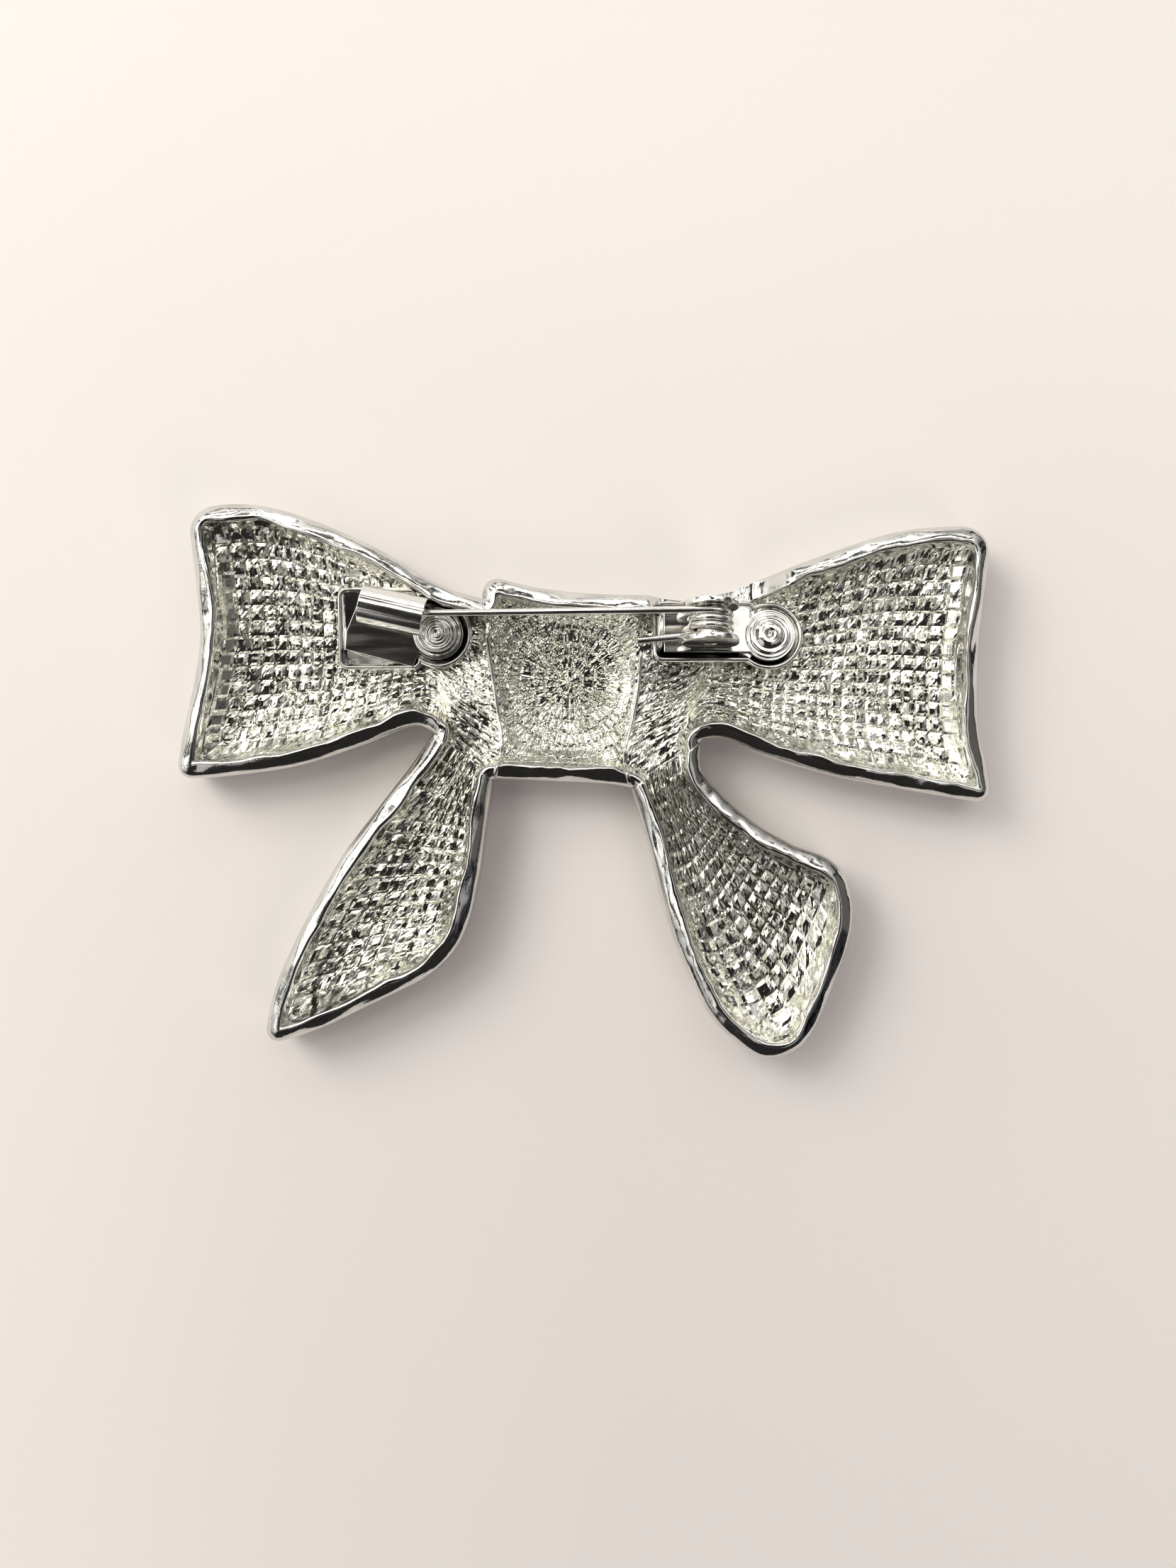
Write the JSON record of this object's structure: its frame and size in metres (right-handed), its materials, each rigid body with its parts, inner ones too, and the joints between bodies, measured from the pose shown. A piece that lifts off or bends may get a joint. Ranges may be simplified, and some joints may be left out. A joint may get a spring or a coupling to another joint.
{
  "type": "brooch",
  "caption": "Bow-shaped costume brooch lying face-down: hollow silver-tone casting, rows of small clear stones underneath, riveted hook catch, hinge bracket and sprung pin wire.",
  "frame": {"origin": "middle of the bow's outline, on the surface that the brooch lies on face-down", "axes": "+X from the left loop to the right one as seen from the back, +Y to the top of the bow, +Z away from the stones, towards the clothes"},
  "size_m": [0.073, 0.0498, 0.0085],
  "materials": {
    "plated_casting": "bright silver-tone plate over a cast zinc alloy, textured inside and polished at the rim",
    "plated_sheet": "bright nickel-plated stamped sheet",
    "rivet_metal": "bright, with turned rings on the heads",
    "spring_wire": "drawn spring-steel wire, bright",
    "stone": "clear square-cut glass"
  },
  "bodies": {
    "brooch": {"bow_casting": "plated_casting", "catch_hook": "plated_sheet", "catch_rivet": "rivet_metal", "hinge_bracket": "plated_sheet", "hinge_rivet": "rivet_metal", "left_loop_stones_row_1": "stone", "left_loop_stones_row_2": "stone", "left_loop_stones_row_3": "stone", "left_loop_stones_row_4": "stone", "left_loop_stones_row_5": "stone", "left_loop_stones_row_6": "stone", "left_loop_stones_row_7": "stone", "left_loop_stones_row_8": "stone", "left_loop_stones_row_9": "stone", "left_loop_stones_row_10": "stone", "left_loop_stones_row_11": "stone", "left_loop_stones_row_12": "stone", "left_loop_stones_row_13": "stone", "left_loop_stones_row_14": "stone", "right_loop_stones_row_1": "stone", "right_loop_stones_row_2": "stone", "right_loop_stones_row_3": "stone", "right_loop_stones_row_4": "stone", "right_loop_stones_row_5": "stone", "right_loop_stones_row_6": "stone", "right_loop_stones_row_7": "stone", "right_loop_stones_row_8": "stone", "right_loop_stones_row_9": "stone", "right_loop_stones_row_10": "stone", "right_loop_stones_row_11": "stone", "right_loop_stones_row_12": "stone", "right_loop_stones_row_13": "stone", "right_loop_stones_row_14": "stone", "knot_stones_row_1": "stone", "knot_stones_row_2": "stone", "knot_stones_row_3": "stone", "knot_stones_row_4": "stone", "knot_stones_row_5": "stone", "knot_stones_row_6": "stone", "knot_stones_row_7": "stone", "knot_stones_row_8": "stone", "knot_stones_row_9": "stone", "left_tail_stones_row_1": "stone", "left_tail_stones_row_2": "stone", "left_tail_stones_row_3": "stone", "left_tail_stones_row_4": "stone", "left_tail_stones_row_5": "stone", "left_tail_stones_row_6": "stone", "right_tail_stones_row_1": "stone", "right_tail_stones_row_2": "stone", "right_tail_stones_row_3": "stone", "right_tail_stones_row_4": "stone", "right_tail_stones_row_5": "stone", "right_tail_stones_row_6": "stone", "right_tail_stones_row_7": "stone"},
    "axle": {"hinge_axle": "rivet_metal"},
    "pin": {"pin_wire": "spring_wire"}
  },
  "joints": [
    {"name": "pin_lift", "type": "hinge", "parent": "brooch", "child": "axle", "pos_m": [0.0109, 0.0144, 0.00575], "axis": [0, 0.9848, -0.1736], "range_deg": [0, 70]},
    {"name": "pin_side", "type": "hinge", "parent": "axle", "child": "pin", "pos_m": [0.0109, 0.0144, 0.00575], "axis": [0, 0, 1], "range_deg": [0, 5.5], "stiffness_Nm_per_rad": 0.002}
  ]
}
